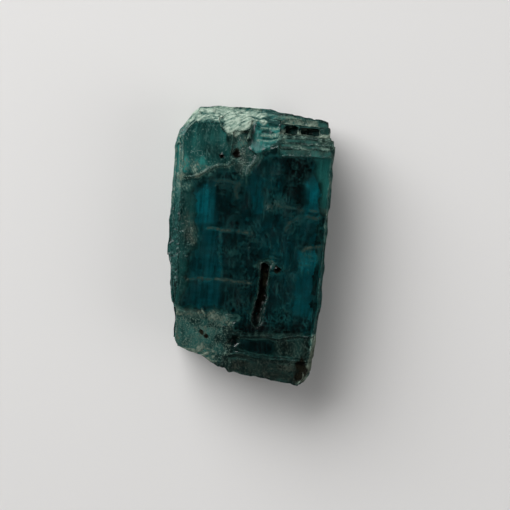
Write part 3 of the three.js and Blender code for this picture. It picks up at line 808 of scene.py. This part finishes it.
class Graph:
    """Adds shader nodes to a material and joins them."""

    def __init__(self, name):
        self.material = bpy.data.materials.new(name)
        self.material.use_nodes = True
        self.nodes = self.material.node_tree.nodes
        self.shader = self.nodes["Principled BSDF"]
        self.output = self.nodes["Material Output"]

    def put(self, value, socket):
        """Sets a socket to a plain value, or joins another node's output to it."""
        if isinstance(value, bpy.types.NodeSocket):
            self.material.node_tree.links.new(value, socket)
        else:
            socket.default_value = value

    def add(self, kind, inputs, output=0, **settings):
        node = self.nodes.new("ShaderNode" + kind)
        for name, value in settings.items():
            setattr(node, name, value)
        for name, value in inputs.items():
            self.put(value, node.inputs[name])
        return node.outputs[output]

    def math(self, operation, a, b=0.0):
        return self.add("Math", {0: a, 1: b}, operation=operation)

    def plus(self, a, b):
        return self.math("ADD", a, b)

    def times(self, a, b):
        return self.math("MULTIPLY", a, b)

    def larger(self, a, b):
        return self.math("MAXIMUM", a, b)

    def between(self, value, start, end, low=0.0, high=1.0):
        """Takes a value from start..end to low..high with an S-shaped change."""
        inputs = {"Value": value, "From Min": start, "From Max": end, "To Min": low, "To Max": high}
        return self.add("MapRange", inputs, interpolation_type="SMOOTHSTEP")

    def blend(self, factor, a, b):
        node = self.nodes.new("ShaderNodeMix")
        node.data_type = "RGBA"
        self.put(factor, node.inputs[0])
        self.put(a, node.inputs[6])
        self.put(b, node.inputs[7])
        return node.outputs[2]

    def attribute(self, name):
        return self.add("Attribute", {}, "Fac", attribute_name=name)

    def grain(self, coords, size, detail, seed, turn=0.0):
        """Noise whose bumps are as long as size, in millimetres, and turned about Z, in degrees."""
        inputs = {
            "Vector": coords,
            "Location": (seed, seed, seed),
            "Rotation": (0, 0, math.radians(turn)),
            "Scale": [length * MM for length in size],
        }
        stretched = self.add("Mapping", inputs, vector_type="TEXTURE")
        return self.add("TexNoise", {"Vector": stretched, "Scale": 1.0, "Detail": detail})


# The tint of the clear crystal's surface where it is bright, and its dark tint, which is painted shade in
# most places and plain darker patches in a few.
CLEAR = (0.1, 0.95, 0.95, 1)
NIGHT_TINT = (0.03, 0.13, 0.15, 1)
# What covers it: haze, lines, crust and dirt, from thin to thick.
HAZE = (0.01, 0.09, 0.082, 1)
PALE_HAZE = (0.022, 0.165, 0.145, 1)
# DARK_HAZE is the cover where it is dark: painted shade on risers and beside edges, and the darker sides.
DARK_HAZE = (0.004, 0.013, 0.012, 1)
# MARK colours the pale lines, among them the painted highlights on the ripples' crests and the stairs'
# ledges.
MARK = (0.05, 0.2, 0.175, 1)
GREY = (0.05, 0.095, 0.078, 1)
FROST = (0.14, 0.22, 0.18, 1)
# WHITE is the palest crust, also the painted highlights along the head's upper rim.
WHITE = (0.36, 0.45, 0.37, 1)
BEIGE = (0.12, 0.135, 0.1, 1)
BROWN = (0.019, 0.019, 0.012, 1)
BLACK = (0.003, 0.003, 0.0025, 1)
INDEX = 1.72  # kyanite's index of refraction
ABSORPTION = (0.045, 0.873, 0.89, 1)
ABSORPTION_DENSITY = 700.0  # per metre
BUMP_HEIGHT = 0.05
# The sealed film: its near-black base, its painted glow where the crystal shines, and its painted shade
# where the crystal is dark.
FILM_BASE = (0.0, 0.0, 0.0, 1)
FILM_GLOWING = (0.75, 0.86, 0.96, 1)
FILM_NIGHT = (0.01, 0.012, 0.012, 1)
FILM_DIM = 0.035  # how far from the base to the glow colour it is where nothing glows
FILM_ROUGHNESS = 0.6
FLOOR_COLOR = (0.72, 0.71, 0.70, 1)
FLOOR_ROUGHNESS = 0.7


def scratches(g, coords, clouds, grit, slants, wear, curls, marks):
    """How strongly pale lines cover the surface: straight scratches, curls and the single marks."""
    patches = g.grain(coords, (2.4, 1.8, 2.4), 1.0, 7.0)
    hairs = g.grain(coords, (0.12, 2.2, 0.3), 1.0, 2.0)
    rungs = g.grain(coords, (2.0, 0.12, 0.4), 1.0, 3.0)
    cross_slants = g.grain(coords, (0.13, 1.3, 0.4), 1.0, 6.0, -41)
    loops = g.grain(coords, (0.45, 0.6, 0.45), 2.5, 9.0)

    lines = g.times(g.between(hairs, 0.6, 0.68, 0, 0.4), g.between(clouds, 0.4, 0.6, 0.2, 1))
    for marked, mask in ((rungs, patches), (slants, clouds), (cross_slants, patches)):
        shown = g.times(g.between(marked, 0.6, 0.68, 0, 0.5), g.between(mask, 0.45, 0.6, 0, 1))
        lines = g.larger(lines, shown)
    lines = g.larger(lines, g.between(grit, 0.6, 0.7, 0, 0.65))
    lines = g.times(lines, wear)
    ridges = g.math("ABSOLUTE", g.math("SUBTRACT", loops, 0.5))
    curly = g.times(g.between(ridges, 0.01, 0.06, 0.75, 0), g.between(grit, 0.35, 0.6, 0.1, 1))
    lines = g.larger(lines, g.times(curly, curls))
    return g.larger(lines, g.times(marks, g.between(grit, 0.35, 0.65, 0.5, 1.6)))


def kyanite_material():
    """Clear teal crystal under a matte cover, where it is frosted, scratched, cloudy or dirty."""
    g = Graph("kyanite")
    coords = g.add("TexCoord", {}, "Object")
    frost, marks, curls, haze, wear, stain, dark, warm = map(g.attribute, LAYERS)
    streaks = g.grain(coords, (0.3, 5.0, 0.3), 3.0, 1.0)
    clouds = g.grain(coords, (1.3, 2.0, 1.3), 2.0, 4.0)
    slants = g.grain(coords, (0.13, 1.5, 0.4), 1.0, 5.0, 32)
    strands = g.grain(coords, (0.3, 1.6, 0.5), 1.0, 10.0, -50)
    grit = g.grain(coords, (0.16, 0.2, 0.16), 2.0, 8.0)

    # The cover: how much of the surface is matte and hides the clear crystal.
    lines = scratches(g, coords, clouds, grit, slants, wear, curls, marks)
    flecks = g.plus(g.times(grit, 0.6), g.times(slants, 0.6))
    swing = g.math("SUBTRACT", strands, 0.5)
    flecks = g.plus(flecks, g.times(swing, g.between(frost, 0.3, 0.9, 0.3, 2.4)))
    tone = g.plus(frost, flecks)
    crust = g.times(g.between(tone, 0.8, 1.2, 0, 0.96), g.between(frost, 0.02, 0.12))
    pale = g.larger(lines, crust)
    covered = g.larger(haze, pale)
    soil = g.times(stain, g.between(streaks, 0.3, 0.6, 0.45, 1))
    packed = g.between(g.times(stain, g.between(grit, 0.3, 0.7, 0.5, 1.2)), 0.4, 0.6)
    cover = g.larger(covered, g.larger(g.between(soil, 0.35, 0.9), packed))
    clearness = g.math("SUBTRACT", 1.0, cover)
    clearness.node.use_clamp = True
    g.put(clearness, g.shader.inputs["Transmission Weight"])

    # The colour, from the clear crystal up through haze, lines and crust to dirt. The dark layer paints
    # shade on the crystal and its cover, and darkens the dirt.
    color = g.blend(dark, CLEAR, NIGHT_TINT)
    hazed = g.blend(g.between(streaks, 0.35, 0.65), HAZE, PALE_HAZE)
    hazed = g.blend(g.times(warm, 0.8), hazed, GREY)
    color = g.blend(g.between(haze, 0.0, 0.06), color, g.blend(dark, hazed, DARK_HAZE))
    paleness = g.math("DIVIDE", pale, g.larger(covered, 0.12))
    color = g.blend(paleness, color, g.blend(warm, MARK, BEIGE))
    crusted = g.blend(g.between(tone, 1.0, 1.3), GREY, FROST)
    crusted = g.blend(g.between(tone, 1.25, 2.0), crusted, WHITE)
    crusted = g.blend(g.times(warm, 0.8), crusted, BEIGE)
    color = g.blend(g.between(pale, 0.25, 0.8), color, g.blend(g.between(crust, 0.2, 0.6), FROST, crusted))
    dirtiness = g.larger(g.between(soil, 0.0, 0.5), packed)
    color = g.blend(dirtiness, color, g.blend(dark, BROWN, BLACK))
    g.put(color, g.shader.inputs["Base Color"])

    # The gloss, the fine relief and what the crystal does to light inside it.
    g.put(g.between(clouds, 0.3, 0.7, 0.1, 0.2), g.shader.inputs["Roughness"])
    height = g.plus(g.times(streaks, 0.25), g.times(lines, -0.3))
    height = g.plus(height, g.times(flecks, g.between(frost, 0.1, 0.9, 0.05, 1.5)))
    bump = g.add("Bump", {"Height": height, "Strength": 1.0, "Distance": BUMP_HEIGHT * MM}, "Normal")
    g.put(bump, g.shader.inputs["Normal"])
    g.shader.inputs["IOR"].default_value = INDEX
    g.shader.inputs["Specular IOR Level"].default_value = 0.0
    absorption = g.add("VolumeAbsorption", {"Color": ABSORPTION, "Density": ABSORPTION_DENSITY})
    g.put(absorption, g.output.inputs["Volume"])
    return g.material


def film_material():
    """The inside of a cleavage crack: near black, silvery as a painted glow where the crystal shines,
    painted dark as shade where it is unlit, and streaked along the crystal.
    """
    g = Graph("cleavage_film")
    coords = g.add("TexCoord", {}, "Object")
    glow, dark = g.attribute("glow"), g.attribute("dark")
    streaks = g.grain(coords, (0.3, 6.0, 0.3), 3.0, 5.0)
    blocks = g.grain(coords, (1.4, 0.45, 1.4), 2.0, 6.0)
    level = g.plus(FILM_DIM, glow)
    level = g.times(level, g.between(streaks, 0.3, 0.7, 0.5, 1.3))
    level = g.times(level, g.between(blocks, 0.3, 0.7, 0.8, 1.15))
    color = g.blend(level, FILM_BASE, FILM_GLOWING)
    color = g.blend(dark, color, FILM_NIGHT)
    g.put(color, g.shader.inputs["Base Color"])
    g.shader.inputs["Roughness"].default_value = FILM_ROUGHNESS
    return g.material


def floor_material():
    g = Graph("studio_floor")
    g.shader.inputs["Base Color"].default_value = FLOOR_COLOR
    g.shader.inputs["Roughness"].default_value = FLOOR_ROUGHNESS
    return g.material


# ---------------------------------------------------------------- the pieces

SHARP_ANGLE = 38  # faces that meet at more than this many degrees keep a crisp edge
FILM_DEPTH = 3.6  # how far the film lies under the broad face
SEALED = 1.2  # and the least that it lies under any part of the surface
FILM_CELL = 0.16
FILM_THICKNESS = 0.05
FILM_JAG = 0.8  # how splintered its outline is
FILM_GLOW = 0.5
FILM_SEED = 81
FILM_OUTLINE = [
    (-7.4, 13.8), (-5.0, 14.8), (2.6, 15.2), (7.2, 14.2), (8.3, 12.8), (8.4, -11.2), (8.0, -13.6),
    (6.8, -14.8), (-0.9, -14.4), (-2.6, -13.6), (-4.2, -12.8), (-6.8, -12.4), (-7.3, -9.0), (-7.9, -6.0),
    (-8.4, 1.0), (-8.5, 11.0),
]


def build_crystal():
    """The crystal, carved out of its CAD solid."""
    crystal = resampled(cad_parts[NODE])
    mesh = crystal.data
    carve(mesh)
    face = Face(coordinates(mesh), normals(mesh), convexity(mesh, 1))
    for name, layer in LAYERS.items():
        store(mesh, name, layer(face))
    mesh.shade_smooth()
    mesh.set_sharp_from_angle(angle=math.radians(SHARP_ANGLE))
    mesh.materials.clear()
    mesh.materials.append(kyanite_material())
    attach(crystal, "root")
    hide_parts(NODE)
    return crystal


def build_film(crystal):
    """A thin closed sheet inside the crystal, stepped and tilted a little as a cleavage crack is."""
    corners = np.array(FILM_OUTLINE)
    xs, ys = (np.arange(corners[:, k].min() - 1, corners[:, k].max() + 1, FILM_CELL) for k in (0, 1))
    grid = np.stack(np.meshgrid(xs, ys, indexing="ij"), axis=-1).reshape(-1, 2)
    points = np.column_stack([grid, np.zeros(len(grid))])
    plates = terraces(noise(jagged(points, 0.6, FILM_SEED), (2.1, 6.5, LONG), FILM_SEED), 6, 0.2)
    tilt = 0.05 * noise(points, (0.5, 4, LONG), FILM_SEED + 1)
    points[:, 2] = TOP - FILM_DEPTH + 0.8 * (plates - 0.5) + tilt
    index = np.arange(len(grid)).reshape(len(xs), len(ys))
    corners_of_cells = (index[:-1, :-1], index[1:, :-1], index[1:, 1:], index[:-1, 1:])
    quads = np.stack(corners_of_cells, axis=-1).reshape(-1, 4)
    middles = points[quads].mean(axis=1)
    quads = quads[depth_inside(jagged(middles, FILM_JAG, FILM_SEED), FILM_OUTLINE) > 0]
    used, packed = np.unique(quads, return_inverse=True)
    points = points[used]

    surface = BVHTree.FromObject(crystal, bpy.context.evaluated_depsgraph_get())
    for point in points:
        hit = surface.ray_cast(Vector((point[0], point[1], TOP + 1)) * MM, Vector((0, 0, -1)))[0]
        if hit:
            point[2] = min(point[2], hit.z / MM - SEALED)

    mesh = bpy.data.meshes.new("cleavage_film_deep")
    mesh.from_pydata((points * MM).tolist(), [], packed.reshape(-1, 4).tolist())
    piece = bpy.data.objects.new("cleavage_film_deep", mesh)
    bpy.context.scene.collection.objects.link(piece)
    # Painted glow on the film where the crystal shines, and painted shade where it is unlit.
    glow = strongest(points, 1.0, BRIGHT_FILMS, patch)
    unlit = ((NIGHT, 1.0, 1.0, 0.8), (LOWER_NIGHT, 0.9, 1.0, 0.8), (FOOT_BAND, 0.9, 0.8, 0.5))
    night = strongest(points, 1.0, unlit, patch)
    store(mesh, "glow", FILM_GLOW * glow * (1 - night))
    store(mesh, "dark", night)
    solidify = piece.modifiers.new("thickness", "SOLIDIFY")
    solidify.thickness = FILM_THICKNESS * MM
    solidify.offset = 0
    apply_modifiers(piece)
    piece.data.materials.append(film_material())
    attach(piece, "root")


# ---------------------------------------------------------------- the studio

WALLS = 0.3  # how bright the room is all round
ZENITH = 0.01  # and straight above, which the broad face mirrors
GLOW = 1.6  # and at the upper left, where a wide soft window would be
GLOW_TOWARD = (-0.62, 0.55, 0.5)
CAMERA_ROLL = math.radians(5)
CAMERA_PLACE = (1.17, -1.3)
VIEW_WIDTH = 60.6  # how much of the crystal's top plane the picture spans
LENS = 160
SENSOR = 36
NEAREST = 0.01  # the camera sees nothing nearer than this, in metres
FLOOR_SIDE = 3  # in metres
CENTRE = (0, 0, TOP / 2)  # what the lights are aimed at


def build_floor():
    bpy.ops.mesh.primitive_plane_add(size=FLOOR_SIDE)
    floor = bpy.context.object
    floor.name = "studio_floor"
    floor.data.materials.append(floor_material())


def build_world():
    """A soft studio: dim walls, darkness straight above, and one wide glow from the upper left."""
    world = bpy.data.worlds.new("studio")
    bpy.context.scene.world = world
    world.use_nodes = True
    nodes = world.node_tree.nodes
    links = world.node_tree.links
    direction = nodes.new("ShaderNodeTexCoord").outputs["Generated"]

    def part(toward, start, end, low, high):
        """Light that goes from low to high as a direction's cosine to this one goes from start to end."""
        along = nodes.new("ShaderNodeVectorMath")
        along.operation = "DOT_PRODUCT"
        links.new(direction, along.inputs[0])
        along.inputs[1].default_value = Vector(toward).normalized()
        step = nodes.new("ShaderNodeMapRange")
        step.interpolation_type = "SMOOTHSTEP"
        links.new(along.outputs["Value"], step.inputs["Value"])
        for name, value in (("From Min", start), ("From Max", end), ("To Min", low), ("To Max", high)):
            step.inputs[name].default_value = value
        return step.outputs["Result"]

    total = nodes.new("ShaderNodeMath")
    total.operation = "ADD"
    links.new(part((0, 0, 1), 0.55, 0.9, WALLS, ZENITH), total.inputs[0])
    links.new(part(GLOW_TOWARD, 0.72, 0.95, 0, GLOW), total.inputs[1])
    links.new(total.outputs[0], nodes["Background"].inputs["Color"])


def add_light(name, place, size, power):
    """A wide soft light at the crystal, placed and sized in millimetres, with its power in watts."""
    data = bpy.data.lights.new(name, "AREA")
    data.shape = "RECTANGLE"
    data.size, data.size_y = (side * MM for side in size)
    data.energy = power
    light = bpy.data.objects.new(name, data)
    light.location = Vector(place) * MM
    light.rotation_euler = (Vector(CENTRE) - Vector(place)).to_track_quat("-Z", "Y").to_euler()
    bpy.context.scene.collection.objects.link(light)


def build_camera():
    """Looks straight down on the broad face, turned a little, as the photograph does."""
    data = bpy.data.cameras.new("camera")
    data.lens = LENS
    data.sensor_width = SENSOR
    data.clip_start = NEAREST
    camera = bpy.data.objects.new("camera", data)
    height = TOP + VIEW_WIDTH * LENS / SENSOR
    camera.location = Vector((*CAMERA_PLACE, height)) * MM
    camera.rotation_euler = (0, 0, CAMERA_ROLL)
    bpy.context.scene.collection.objects.link(camera)
    bpy.context.scene.camera = camera


crystal = build_crystal()
build_film(crystal)
build_floor()
build_world()
add_light("key", place=(-220, 240, 240), size=(380, 380), power=1.7)
add_light("fill", place=(260, -60, 200), size=(200, 200), power=0.2)
build_camera()
bpy.context.scene.view_settings.view_transform = "Standard"
